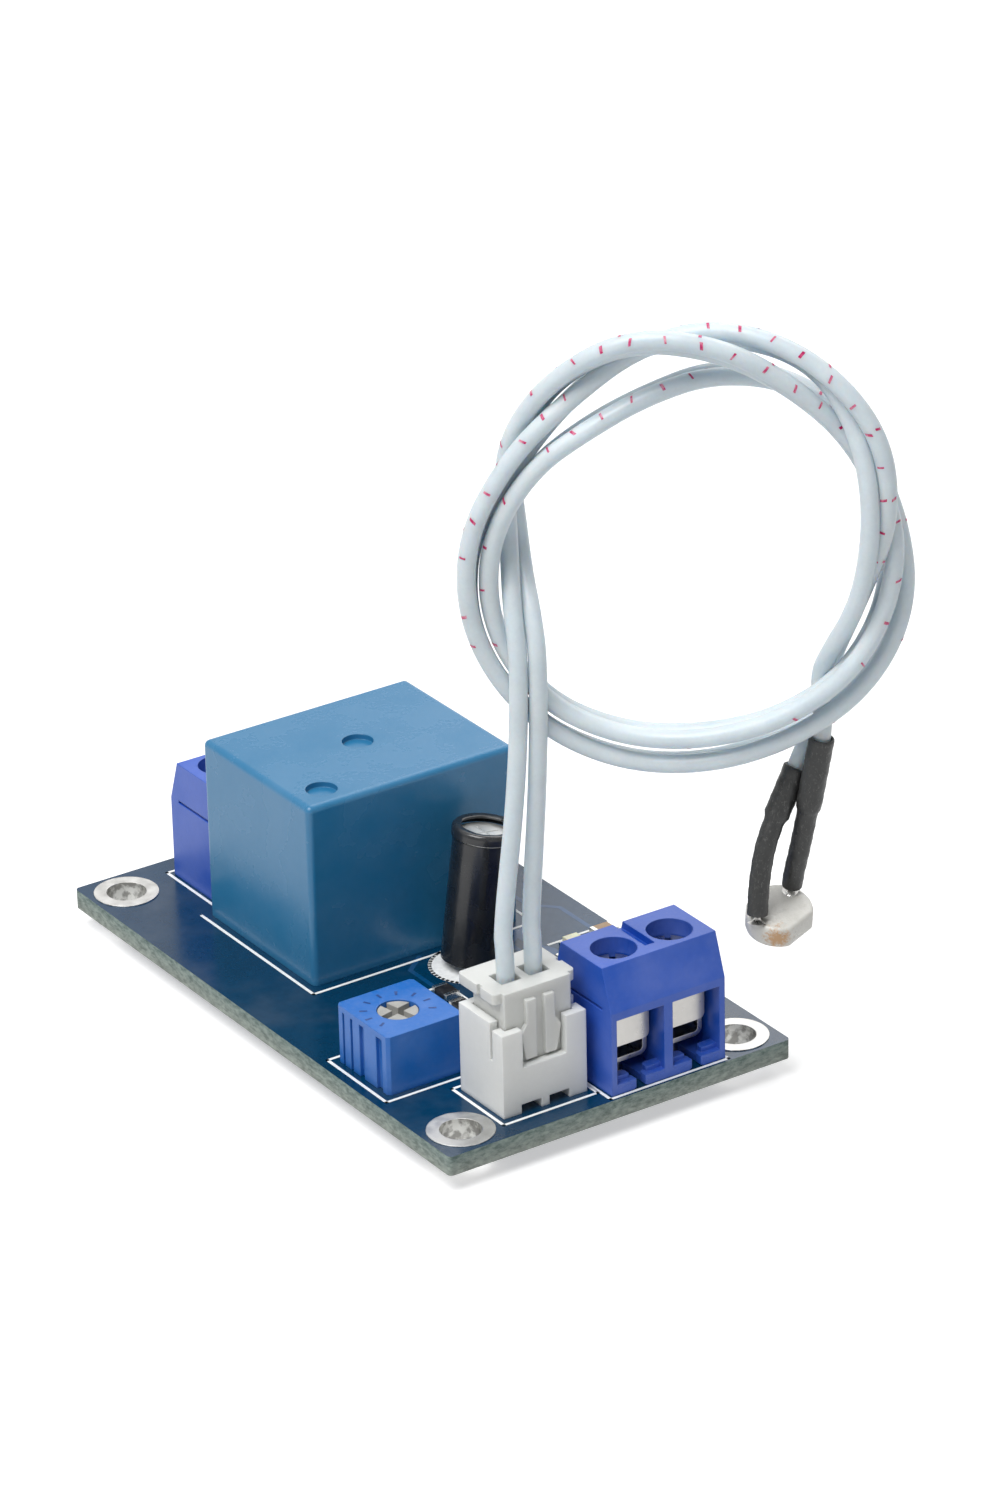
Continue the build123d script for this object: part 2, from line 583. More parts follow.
# Armature: the iron plate that the pole pulls down
with BuildPart() as relay_armature:
    with BuildSketch(RELAY_FRAME.offset(ARMATURE_BOTTOM)):
        with Locations(((ARMATURE_BACK + ARMATURE_TIP) / 2, 0)):
            RectangleRounded(ARMATURE_TIP - ARMATURE_BACK, YOKE_WIDTH, BOBBIN_FLANGE)
    extrude(amount=ARMATURE_THICKNESS)
relay_armature.part.label = "relay_armature"
export_step(relay_armature.part, "parts/relay_armature.step")

# Contact leaf on the armature, with the moving contact button at its tip
LEAF_BACK = ARMATURE_BACK + ARMATURE_THICKNESS
with BuildPart() as relay_contact_leaf:
    with BuildSketch(RELAY_FRAME.offset(LEAF_BOTTOM)):
        with Locations(((LEAF_BACK + LEAF_TIP) / 2, 0)):
            Rectangle(LEAF_TIP - LEAF_BACK, LEAF_WIDTH)
    extrude(amount=LEAF_THICKNESS)
    with BuildSketch(RELAY_FRAME.offset(LEAF_MIDDLE - CONTACT_HALF_HEIGHT)):
        with Locations((CONTACT_X, 0)):
            Circle(CONTACT_RADIUS)
    extrude(amount=2 * CONTACT_HALF_HEIGHT)
relay_contact_leaf.part.label = "relay_contact_leaf"
export_step(relay_contact_leaf.part, "parts/relay_contact_leaf.step")


def fixed_contact(side, arm_bottom, button_bottom):
    """A bent strip: a pin through the board, a riser and an arm that carries a contact button."""
    with BuildPart() as contact:
        with BuildSketch(RELAY_FRAME.offset(-BOARD_TOP)):
            with Locations((STRIP_X + STRIP / 2, side * FIXED_PIN_Y)):
                Rectangle(STRIP, STRIP_WIDTH)
        extrude(amount=BOARD_TOP + arm_bottom + STRIP)
        arm_reach = FIXED_PIN_Y + STRIP_WIDTH / 2 + CONTACT_RADIUS
        with BuildSketch(RELAY_FRAME.offset(arm_bottom)):
            with Locations((STRIP_X + STRIP, side * (FIXED_PIN_Y + STRIP_WIDTH / 2))):
                Rectangle(
                    STRIP_X + STRIP - CONTACT_X + CONTACT_RADIUS,
                    arm_reach,
                    align=(Align.MAX, Align.MAX if side > 0 else Align.MIN),
                )
        extrude(amount=STRIP)
        with BuildSketch(RELAY_FRAME.offset(button_bottom)):
            with Locations((CONTACT_X, 0)):
                Circle(CONTACT_RADIUS)
        extrude(amount=FIXED_BUTTON)
    return contact


# Normally closed contact above the leaf and normally open contact below it
closed_contact = fixed_contact(1, NC_BUTTON_BOTTOM + FIXED_BUTTON, NC_BUTTON_BOTTOM)
closed_contact.part.label = "relay_closed_contact"
export_step(closed_contact.part, "parts/relay_closed_contact.step")

open_contact = fixed_contact(-1, NO_BUTTON_TOP - FIXED_BUTTON - STRIP, NO_BUTTON_TOP - FIXED_BUTTON)
open_contact.part.label = "relay_open_contact"
export_step(open_contact.part, "parts/relay_open_contact.step")

# Two round pins that feed the relay's winding
with BuildPart() as coil_pins:
    with Locations(*[(x, y, 0) for x, y in relay_coil_pins]):
        Cylinder(COIL_PIN_RADIUS, BOARD_TOP + BOBBIN_BOTTOM + BOBBIN_FLANGE, align=BOTTOM)
coil_pins.part.label = "relay_coil_pins"
export_step(coil_pins.part, "parts/relay_coil_pins.step")


def terminal_housing(frame, count):
    """The moulded block of a screw terminal: a wire entry, a metalwork pocket and a screw well in each pole."""
    length = count * POLE_PITCH + 2 * TERMINAL_END_WALL
    end_face = Plane(
        frame.from_local_coords(Vector(-length / 2, 0, 0)), x_dir=frame.y_dir, z_dir=frame.x_dir
    )
    entry_face = Plane(frame.origin, x_dir=frame.x_dir, z_dir=-frame.y_dir)
    poles = pole_places(count)
    with BuildPart() as housing:
        with BuildSketch(end_face):
            with BuildLine():
                Polyline(
                    (0, 0),
                    (TERMINAL_DEPTH, 0),
                    (TERMINAL_DEPTH, TERMINAL_SHOULDER),
                    (TERMINAL_DEPTH - TERMINAL_BACK_SLOPE, TERMINAL_HEIGHT),
                    (TERMINAL_FRONT_SLOPE, TERMINAL_HEIGHT),
                    (0, TERMINAL_SHOULDER),
                    close=True,
                )
            make_face()
        extrude(amount=length)
        with BuildSketch(entry_face):
            with Locations(*[(x, (ENTRY_SILL + ENTRY_TOP) / 2) for x in poles]):
                Rectangle(2 * ENTRY_HALF_WIDTH, ENTRY_TOP - ENTRY_SILL)
        extrude(amount=-POCKET_BACK, mode=Mode.SUBTRACT)
        with BuildSketch(entry_face.offset(-FRONT_WALL)):
            with Locations(*[(x, (ENTRY_SILL + POCKET_TOP) / 2) for x in poles]):
                Rectangle(2 * ENTRY_HALF_WIDTH, POCKET_TOP - ENTRY_SILL)
        extrude(amount=FRONT_WALL - POCKET_BACK, mode=Mode.SUBTRACT)
        with BuildSketch(frame.offset(TERMINAL_HEIGHT)):
            with Locations(*[(x, SCREW_DEPTH) for x in poles]):
                Circle(WELL_RADIUS)
        extrude(amount=POCKET_TOP - TERMINAL_HEIGHT, mode=Mode.SUBTRACT)
        with BuildSketch(frame):
            with Locations(*[(x, 0) for x in poles]):
                Rectangle(2 * SILL_SLOT_HALF, SCREW_DEPTH + CAGE_DEPTH / 2, align=(Align.CENTER, Align.MIN))
        extrude(amount=ENTRY_SILL, mode=Mode.SUBTRACT)
        with BuildSketch(entry_face):
            for x in poles:
                for side in (-1, 1):
                    wall = x + side * ENTRY_HALF_WIDTH
                    lip = x + side * SILL_SLOT_HALF
                    with BuildLine():
                        Polyline(
                            (wall, ENTRY_SILL),
                            (lip, ENTRY_SILL),
                            (wall, ENTRY_SILL + GUSSET_HEIGHT),
                            close=True,
                        )
                    make_face()
        extrude(amount=-GUSSET_DEPTH)
        with BuildSketch(frame.offset(TERMINAL_HEIGHT)):
            for x in poles[1:]:
                with Locations((x - POLE_PITCH / 2, TERMINAL_DEPTH - TERMINAL_BACK_SLOPE)):
                    Rectangle(TOP_SLOT_WIDTH, TOP_SLOT_LENGTH, align=(Align.CENTER, Align.MAX))
        extrude(amount=-TOP_SLOT_DEPTH, mode=Mode.SUBTRACT)
        for end in (-1, 1):
            groove_plane = Plane(
                frame.from_local_coords(Vector(end * length / 2, 0, TERMINAL_SHOULDER)),
                x_dir=frame.y_dir,
                z_dir=frame.x_dir * end,
            )
            with BuildSketch(groove_plane):
                with Locations((TERMINAL_DEPTH / 2, 0)):
                    Rectangle(TERMINAL_DEPTH - 2 * TERMINAL_FRONT_SLOPE, SIDE_GROOVE_HEIGHT)
            extrude(amount=-SIDE_GROOVE, mode=Mode.SUBTRACT)
    return housing


supply_housing = terminal_housing(SUPPLY_FRAME, SUPPLY_POLES)
supply_housing.part.label = "supply_terminal_housing"
export_step(supply_housing.part, "parts/supply_terminal_housing.step")

load_housing = terminal_housing(LOAD_FRAME, LOAD_POLES)
load_housing.part.label = "load_terminal_housing"
export_step(load_housing.part, "parts/load_terminal_housing.step")


def terminal_cages(frame, count):
    """The fixed metal cages: a bent box with a threaded collar in its top, and the pin under it."""
    with BuildPart() as cages:
        for x in pole_places(count):
            middle = frame.from_local_coords(Vector(x, CAGE_FRONT, (CAGE_BOTTOM + CAGE_TOP) / 2))
            with BuildSketch(Plane(middle, x_dir=frame.x_dir, z_dir=-frame.y_dir)):
                RectangleRounded(2 * CAGE_HALF_WIDTH, CAGE_TOP - CAGE_BOTTOM, CAGE_BEND)
                RectangleRounded(
                    2 * (CAGE_HALF_WIDTH - CAGE_WALL),
                    CAGE_TOP - CAGE_BOTTOM - 2 * CAGE_WALL,
                    CAGE_BEND - CAGE_WALL,
                    mode=Mode.SUBTRACT,
                )
            extrude(amount=-CAGE_DEPTH)
        with BuildSketch(frame.offset(CAGE_TOP - CAGE_WALL)):
            with Locations(*[(x, SCREW_DEPTH) for x in pole_places(count)]):
                Circle(SCREW_HOLE_RADIUS + COLLAR_WALL)
        extrude(amount=-COLLAR_HEIGHT)
        with BuildSketch(frame.offset(CAGE_TOP)):
            with Locations(*[(x, SCREW_DEPTH) for x in pole_places(count)]):
                Circle(SCREW_HOLE_RADIUS)
        extrude(amount=-CAGE_WALL - COLLAR_HEIGHT, mode=Mode.SUBTRACT)
        with BuildSketch(frame.offset(-BOARD_TOP)):
            with Locations(*[(x, SCREW_DEPTH) for x in pole_places(count)]):
                Circle(TERMINAL_PIN_RADIUS)
        extrude(amount=BOARD_TOP + CAGE_BOTTOM)
    return cages


def wire_guard(frame, x):
    """The moving guard of a pole: a plate in front of the cage and a foot inside it, which the screw pushes down."""
    side = Plane(
        frame.from_local_coords(Vector(x - GUARD_HALF_WIDTH, 0, 0)), x_dir=frame.y_dir, z_dir=frame.x_dir
    )
    foot_back = CAGE_FRONT + CAGE_DEPTH - CAGE_ROOM
    foot_half = CAGE_HALF_WIDTH - CAGE_WALL - GUARD_FOOT_CLEARANCE
    with BuildPart() as guard:
        with BuildSketch(side):
            with Locations((GUARD_BACK - GUARD_THICKNESS, GUARD_BOTTOM)):
                Rectangle(GUARD_THICKNESS, GUARD_TOP - GUARD_BOTTOM, align=(Align.MIN, Align.MIN))
        extrude(amount=2 * GUARD_HALF_WIDTH)
        fillet(guard.edges().filter_by(Axis(frame.origin, frame.y_dir)), GUARD_CORNER)
        with BuildSketch(frame.offset(GUARD_BOTTOM)):
            with Locations((x, GUARD_BACK - GUARD_THICKNESS)):
                Rectangle(
                    2 * foot_half, foot_back - GUARD_BACK + GUARD_THICKNESS, align=(Align.CENTER, Align.MIN)
                )
        extrude(amount=GUARD_THICKNESS)
    return guard


def terminal_screw(frame, x):
    """A slotted screw: its shank runs through the cage's collar and its tip rests above the guard's foot."""
    with BuildPart() as screw:
        with BuildSketch(frame.offset(SCREW_TIP)):
            with Locations((x, SCREW_DEPTH)):
                Circle(SCREW_SHAFT_RADIUS)
        extrude(amount=SCREW_HEAD_BOTTOM - SCREW_TIP)
        with BuildSketch(frame.offset(SCREW_HEAD_BOTTOM)):
            with Locations((x, SCREW_DEPTH)):
                Circle(SCREW_HEAD_RADIUS)
        extrude(amount=SCREW_HEAD_HEIGHT)
        head_top = frame.offset(SCREW_HEAD_BOTTOM + SCREW_HEAD_HEIGHT)
        with BuildSketch(head_top):
            with Locations((x, SCREW_DEPTH)):
                Rectangle(2 * SCREW_HEAD_RADIUS, SCREW_SLOT_WIDTH, rotation=SCREW_SLOT_TURN)
        extrude(amount=-SCREW_SLOT_DEPTH, mode=Mode.SUBTRACT)
    return screw


for terminal, frame, count in (("supply", SUPPLY_FRAME, SUPPLY_POLES), ("load", LOAD_FRAME, LOAD_POLES)):
    cages = terminal_cages(frame, count)
    cages.part.label = f"{terminal}_terminal_cages"
    export_step(cages.part, f"parts/{terminal}_terminal_cages.step")
    for index, x in enumerate(pole_places(count), start=1):
        guard = wire_guard(frame, x)
        guard.part.label = f"{terminal}_wire_guard_{index}"
        export_step(guard.part, f"parts/{terminal}_wire_guard_{index}.step")
        screw = terminal_screw(frame, x)
        screw.part.label = f"{terminal}_screw_{index}"
        export_step(screw.part, f"parts/{terminal}_screw_{index}.step")

# Trimmer housing: a moulded cap, open below, with upright grooves in its left side
ROTOR_X, ROTOR_Y = ROTOR_OFFSET
TRIMMER_CAVITY_X = TRIMMER_WIDTH / 2 - TRIMMER_WALL
TRIMMER_CAVITY_Y = TRIMMER_LENGTH / 2 - TRIMMER_WALL
TRIMMER_CEILING = TRIMMER_HEIGHT - TRIMMER_LID
with BuildPart() as trimmer_housing:
    with BuildSketch(TRIMMER_FRAME):
        Rectangle(TRIMMER_WIDTH, TRIMMER_LENGTH)
    extrude(amount=TRIMMER_HEIGHT)
    chamfer(trimmer_housing.edges().filter_by(Axis.Z), TRIMMER_EDGE)
    with BuildSketch(TRIMMER_FRAME):
        Rectangle(2 * TRIMMER_CAVITY_X, 2 * TRIMMER_CAVITY_Y)
    extrude(amount=TRIMMER_CEILING, mode=Mode.SUBTRACT)
    with BuildSketch(TRIMMER_FRAME):
        for from_back, width in RIB_GROOVES:
            with Locations((-TRIMMER_WIDTH / 2, TRIMMER_LENGTH / 2 - from_back)):
                Rectangle(2 * RIB_GROOVE_DEPTH, width)
    extrude(amount=TRIMMER_CEILING, mode=Mode.SUBTRACT)
    with BuildSketch(TRIMMER_FRAME.offset(TRIMMER_CEILING)):
        with Locations(ROTOR_OFFSET):
            Circle(ROTOR_RADIUS + ROTOR_CLEARANCE)
    extrude(amount=TRIMMER_LID, mode=Mode.SUBTRACT)
trimmer_housing.part.label = "trimmer_housing"
export_step(trimmer_housing.part, "parts/trimmer_housing.step")

# Trimmer rotor, with a cross slot in its top and a flange under the lid
ROTOR_TOP = TRIMMER_HEIGHT - ROTOR_RECESS
FLANGE_TOP = TRIMMER_CEILING - ROTOR_CLEARANCE
with BuildPart() as trimmer_rotor:
    with BuildSketch(TRIMMER_FRAME.offset(ROTOR_BOTTOM)):
        with Locations(ROTOR_OFFSET):
            Circle(ROTOR_RADIUS)
    extrude(amount=ROTOR_TOP - ROTOR_BOTTOM)
    with BuildSketch(TRIMMER_FRAME.offset(FLANGE_TOP)):
        with Locations(ROTOR_OFFSET):
            Circle(ROTOR_RADIUS + ROTOR_FLANGE)
    extrude(amount=-ROTOR_FLANGE_HEIGHT)
    with BuildSketch(TRIMMER_FRAME.offset(ROTOR_TOP)):
        with Locations(ROTOR_OFFSET):
            Rectangle(2 * ROTOR_RADIUS, ROTOR_SLOT_WIDTH, rotation=ROTOR_SLOT_TURN)
            Rectangle(2 * ROTOR_RADIUS, ROTOR_SLOT_WIDTH, rotation=ROTOR_SLOT_TURN + 90)
    extrude(amount=-ROTOR_SLOT_DEPTH, mode=Mode.SUBTRACT)
trimmer_rotor.part.label = "trimmer_rotor"
export_step(trimmer_rotor.part, "parts/trimmer_rotor.step")

# Wiper: a spring plate under the rotor, with a dimple that runs on the element
ELEMENT_TOP = ELEMENT_LIFT + ELEMENT_THICKNESS
with BuildPart() as trimmer_wiper:
    with BuildSketch(TRIMMER_FRAME.offset(ROTOR_BOTTOM)):
        with Locations(ROTOR_OFFSET):
            Circle(ROTOR_RADIUS)
    extrude(amount=-WIPER_THICKNESS)
    with BuildSketch(TRIMMER_FRAME.offset(ELEMENT_TOP + WIPER_GAP)):
        with Locations((ROTOR_X, ROTOR_Y + ROTOR_RADIUS - 2 * WIPER_DIMPLE)):
            Circle(WIPER_DIMPLE)
    extrude(amount=ROTOR_BOTTOM - ELEMENT_TOP - WIPER_GAP - WIPER_THICKNESS)
trimmer_wiper.part.label = "trimmer_wiper"
export_step(trimmer_wiper.part, "parts/trimmer_wiper.step")

# Resistive element: a ceramic plate that closes the housing from below
with BuildPart() as trimmer_element:
    with BuildSketch(TRIMMER_FRAME.offset(ELEMENT_LIFT)):
        Rectangle(2 * (TRIMMER_CAVITY_X - ELEMENT_CLEARANCE), 2 * (TRIMMER_CAVITY_Y - ELEMENT_CLEARANCE))
    extrude(amount=ELEMENT_THICKNESS)
trimmer_element.part.label = "trimmer_element"
export_step(trimmer_element.part, "parts/trimmer_element.step")

# Trimmer pins, from the element through the board
with BuildPart() as trimmer_pin_group:
    with Locations(*[(x, y, 0) for x, y in trimmer_pins]):
        Cylinder(TRIMMER_PIN_RADIUS, BOARD_TOP + ELEMENT_LIFT, align=BOTTOM)
trimmer_pin_group.part.label = "trimmer_pins"
export_step(trimmer_pin_group.part, "parts/trimmer_pins.step")

# Sensor header: an open box with a front window, split side walls and two notches at its foot
header_front = Plane(HEADER_FRAME.origin, x_dir=(1, 0, 0), z_dir=(0, -1, 0))
with BuildPart() as sensor_header:
    with BuildSketch(HEADER_FRAME):
        Rectangle(HEADER_WIDTH, HEADER_DEPTH, align=(Align.CENTER, Align.MIN))
    extrude(amount=HEADER_HEIGHT)
    with BuildSketch(HEADER_FRAME.offset(HEADER_FLOOR)):
        with Locations((0, HEADER_WALL)):
            Rectangle(
                HEADER_WIDTH - 2 * HEADER_WALL, HEADER_DEPTH - 2 * HEADER_WALL, align=(Align.CENTER, Align.MIN)
            )
    extrude(amount=HEADER_HEIGHT - HEADER_FLOOR, mode=Mode.SUBTRACT)
    with BuildSketch(header_front):
        with Locations((0, WINDOW_BOTTOM)):
            Rectangle(WINDOW_WIDTH, HEADER_HEIGHT - WINDOW_BOTTOM, align=(Align.CENTER, Align.MIN))
    extrude(amount=-HEADER_WALL, mode=Mode.SUBTRACT)
    with BuildSketch(header_front):
        with Locations((0, PILLAR_HEIGHT)):
            Rectangle(HEADER_WIDTH, HEADER_HEIGHT - PILLAR_HEIGHT, align=(Align.CENTER, Align.MIN))
    extrude(amount=-PILLAR_DEPTH, mode=Mode.SUBTRACT)
    with BuildSketch(header_front.offset(-PILLAR_DEPTH)):
        with Locations((0, SIDE_SLOT_BOTTOM)):
            Rectangle(HEADER_WIDTH, HEADER_HEIGHT - SIDE_SLOT_BOTTOM, align=(Align.CENTER, Align.MIN))
    extrude(amount=-SIDE_SLOT_WIDTH, mode=Mode.SUBTRACT)
    with BuildSketch(header_front):
        with Locations((-CONTACT_PITCH / 2, 0), (CONTACT_PITCH / 2, 0)):
            Rectangle(NOTCH_WIDTH, NOTCH_HEIGHT, align=(Align.CENTER, Align.MIN))
    extrude(amount=-NOTCH_DEPTH, mode=Mode.SUBTRACT)
    with BuildSketch(HEADER_FRAME):
        with Locations((-CONTACT_PITCH / 2, HEADER_PIN_DEPTH), (CONTACT_PITCH / 2, HEADER_PIN_DEPTH)):
            Rectangle(HEADER_PIN_SIDE, HEADER_PIN_SIDE)
    extrude(amount=HEADER_FLOOR, mode=Mode.SUBTRACT)
sensor_header.part.label = "sensor_header"
export_step(sensor_header.part, "parts/sensor_header.step")

# Square header pins
with BuildPart() as header_pin_group:
    with BuildSketch(Plane.XY):
        with Locations(*header_pins):
            Rectangle(HEADER_PIN_SIDE, HEADER_PIN_SIDE)
    extrude(amount=BOARD_TOP + HEADER_PIN_TOP)
header_pin_group.part.label = "header_pins"
export_step(header_pin_group.part, "parts/header_pins.step")

# Plug in the header: a body with two cavities, two front ribs and a flange with side tabs
PLUG_BOTTOM = HEADER_FLOOR + PLUG_LIFT
PLUG_FRONT = HEADER_WALL + PLUG_CLEARANCE
PLUG_BODY_WIDTH = HEADER_WIDTH - 2 * HEADER_WALL - 2 * PLUG_CLEARANCE
PLUG_BODY_DEPTH = HEADER_DEPTH - 2 * HEADER_WALL - 2 * PLUG_CLEARANCE
with BuildPart() as sensor_plug:
    with BuildSketch(HEADER_FRAME.offset(PLUG_BOTTOM)):
        with Locations((0, PLUG_FRONT)):
            Rectangle(PLUG_BODY_WIDTH, PLUG_BODY_DEPTH, align=(Align.CENTER, Align.MIN))
    extrude(amount=PLUG_TOP - PLUG_BOTTOM)
    with BuildSketch(header_front.offset(-PLUG_RIB_REACH)):
        for side in (-1, 1):
            rib_outline = [(side * x, z) for x, z in PLUG_RIB]
            with BuildLine():
                Polyline(
                    *rib_outline,
                    (side * PLUG_RIB[-1][0], PLUG_TOP - PLUG_FLANGE),
                    (side * PLUG_RIB[0][0], PLUG_TOP - PLUG_FLANGE),
                    close=True,
                )
            make_face()
    extrude(amount=PLUG_RIB_REACH - PLUG_FRONT)
    with BuildSketch(HEADER_FRAME.offset(PLUG_TOP - PLUG_FLANGE)):
        with Locations((0, (PLUG_FLANGE_FRONT + PLUG_FLANGE_BACK) / 2)):
            RectangleRounded(PLUG_FLANGE_WIDTH, PLUG_FLANGE_BACK - PLUG_FLANGE_FRONT, PLUG_FLANGE_CORNER)
        for side in (-1, 1):
            with Locations((side * PLUG_FLANGE_WIDTH / 2, HEADER_PIN_DEPTH)):
                Rectangle(PLUG_FLANGE_NOTCH, PLUG_FLANGE_NOTCH, mode=Mode.SUBTRACT)
    extrude(amount=PLUG_FLANGE)
    with BuildSketch(HEADER_FRAME.offset(PLUG_BOTTOM)):
        with Locations((-CONTACT_PITCH / 2, HEADER_PIN_DEPTH), (CONTACT_PITCH / 2, HEADER_PIN_DEPTH)):
            Rectangle(PLUG_CAVITY, PLUG_CAVITY)
    extrude(amount=PLUG_TOP - PLUG_BOTTOM, mode=Mode.SUBTRACT)
sensor_plug.part.label = "sensor_plug"
export_step(sensor_plug.part, "parts/sensor_plug.step")

# Crimp contacts: a box that takes the pin and a barrel that holds the wire
CRIMP_SIDE = HEADER_PIN_SIDE + 2 * (CRIMP_CLEARANCE + CRIMP_WALL)
CRIMP_BOX_TOP = HEADER_PIN_TOP + CRIMP_CLEARANCE
WIRE_START = CRIMP_BOX_TOP + CRIMP_CAP
with BuildPart() as plug_contacts:
    with BuildSketch(Plane.XY.offset(BOARD_TOP + CRIMP_BOTTOM)):
        with Locations(*header_pins):
            Rectangle(CRIMP_SIDE, CRIMP_SIDE)
    extrude(amount=WIRE_START - CRIMP_BOTTOM)
    with BuildSketch(Plane.XY.offset(BOARD_TOP + CRIMP_BOTTOM)):
        with Locations(*header_pins):
            Rectangle(HEADER_PIN_SIDE + 2 * CRIMP_CLEARANCE, HEADER_PIN_SIDE + 2 * CRIMP_CLEARANCE)
    extrude(amount=CRIMP_BOX_TOP - CRIMP_BOTTOM, mode=Mode.SUBTRACT)
    with BuildSketch(Plane.XY.offset(BOARD_TOP + CRIMP_BOX_TOP)):
        with Locations(*header_pins):
            Circle(WIRE_RADIUS + CRIMP_BARREL_WALL)
    extrude(amount=CRIMP_CAP + CRIMP_BARREL_LENGTH)
    with BuildSketch(Plane.XY.offset(BOARD_TOP + WIRE_START)):
        with Locations(*header_pins):
            Circle(WIRE_RADIUS)
    extrude(amount=CRIMP_BARREL_LENGTH, mode=Mode.SUBTRACT)
plug_contacts.part.label = "plug_contacts"
export_step(plug_contacts.part, "parts/plug_contacts.step")

# Capacitor can: drawn aluminium with a bead near its foot, open below
cap_lean = math.radians(CAP_LEAN)
cap_axis = Vector(math.sin(cap_lean), 0, math.cos(cap_lean))
cap_plane = Plane(
    (CAP_X, CAP_Y, BOARD_TOP + CAP_LIFT), x_dir=(math.cos(cap_lean), 0, -math.sin(cap_lean)), z_dir=cap_axis
)
cap_profile = Plane(cap_plane.origin, x_dir=cap_plane.x_dir, z_dir=-cap_plane.y_dir)
CAN_RADIUS = CAP_RADIUS - CAP_SLEEVE
CAN_TOP = CAP_HEIGHT - CAP_LIFT
with BuildPart() as capacitor_can:
    with BuildSketch(cap_profile):
        with BuildLine():
            Polyline(
                (0, CAP_BUNG_HEIGHT),
                (CAN_RADIUS - CAP_CAN_WALL, CAP_BUNG_HEIGHT),
                (CAN_RADIUS - CAP_CAN_WALL, 0),
                (CAN_RADIUS, 0),
                (CAN_RADIUS, CAP_BEAD_HEIGHT - CAP_BEAD),
                (CAN_RADIUS - CAP_BEAD, CAP_BEAD_HEIGHT),
                (CAN_RADIUS, CAP_BEAD_HEIGHT + CAP_BEAD),
                (CAN_RADIUS, CAN_TOP),
                (0, CAN_TOP),
                close=True,
            )
        make_face()
    revolve(axis=Axis(cap_plane.origin, cap_axis))
    fillet(capacitor_can.faces().sort_by(Axis.Z)[-1].edges(), CAP_EDGE)
    with BuildSketch(cap_plane.offset(CAN_TOP)):
        Rectangle(CAN_RADIUS, CAP_VENT_WIDTH)
        Rectangle(CAP_VENT_WIDTH, CAN_RADIUS)
    extrude(amount=-CAP_VENT_DEPTH, mode=Mode.SUBTRACT)
capacitor_can.part.label = "capacitor_can"
export_step(capacitor_can.part, "parts/capacitor_can.step")

# Printed sleeve that is shrunk on the can, with a lip over its top edge
with BuildPart() as capacitor_sleeve:
    with BuildSketch(cap_plane):
        Circle(CAP_RADIUS)
        Circle(CAN_RADIUS, mode=Mode.SUBTRACT)
    extrude(amount=CAN_TOP - CAP_EDGE)
capacitor_sleeve.part.label = "capacitor_sleeve"
export_step(capacitor_sleeve.part, "parts/capacitor_sleeve.step")

# Rubber bung in the can's mouth
CAP_BUNG_RADIUS = CAN_RADIUS - CAP_CAN_WALL
with BuildPart() as capacitor_bung:
    with BuildSketch(cap_plane):
        Circle(CAP_BUNG_RADIUS)
    extrude(amount=CAP_BUNG_HEIGHT)
capacitor_bung.part.label = "capacitor_bung"
export_step(capacitor_bung.part, "parts/capacitor_bung.step")

# Capacitor leads, bent a little between the bung and the board
with BuildPart() as capacitor_leads:
    for side in (-1, 1):
        root = cap_plane.from_local_coords(Vector(side * CAP_LEAD_PITCH / 2, 0, 0))
        foot = Vector(CAP_X + side * CAP_LEAD_PITCH / 2, CAP_Y, 0)
        with BuildSketch(Plane(foot, z_dir=(0, 0, 1))):
            Circle(CAP_LEAD_RADIUS)
        extrude(amount=BOARD_TOP)
        with BuildSketch(Plane(foot + Vector(0, 0, BOARD_TOP), z_dir=(0, 0, 1))):
            Circle(CAP_LEAD_RADIUS)
        with BuildSketch(Plane(root, x_dir=cap_plane.x_dir, z_dir=cap_axis)):
            Circle(CAP_LEAD_RADIUS)
        loft()
capacitor_leads.part.label = "capacitor_leads"
export_step(capacitor_leads.part, "parts/capacitor_leads.step")


def chip_bodies(label, places, height):
    """The bodies of like chips, between their end caps."""
    with BuildPart() as bodies:
        for place in places:
            with BuildSketch(chip_plane(place)):
                Rectangle(CHIP_LENGTH - 2 * CHIP_END, CHIP_WIDTH)
            extrude(amount=height)
    bodies.part.label = label
    export_step(bodies.part, f"parts/{label}.step")


# Bodies of the chip resistors, chip capacitors and indicator lamps
chip_bodies("chip_resistors", RESISTOR_PLACES, CHIP_HEIGHT)
chip_bodies("chip_capacitors", CAPACITOR_PLACES, CAPACITOR_HEIGHT)
chip_bodies("indicator_leds", LED_PLACES, LED_HEIGHT)

# Soldered end caps of every chip
with BuildPart() as chip_end_caps:
    for chip_places, height in (
        (RESISTOR_PLACES, CHIP_HEIGHT),
        (CAPACITOR_PLACES, CAPACITOR_HEIGHT),
        (LED_PLACES, LED_END_HEIGHT),
    ):
        for place in chip_places:
            with BuildSketch(chip_plane(place)):
                with Locations(((CHIP_END - CHIP_LENGTH) / 2, 0), ((CHIP_LENGTH - CHIP_END) / 2, 0)):
                    Rectangle(CHIP_END, CHIP_WIDTH)
            extrude(amount=height)
chip_end_caps.part.label = "chip_end_caps"
export_step(chip_end_caps.part, "parts/chip_end_caps.step")

# Moulded diode, transistor and comparator bodies, with sides that lean in above and below their middle
diode_plane = chip_plane(DIODE_PLACE)
transistor_plane = Plane(board_place(*TRANSISTOR_PLACE, IC_LIFT))
ic_plane = Plane(board_place(*IC_PLACE, IC_LIFT))


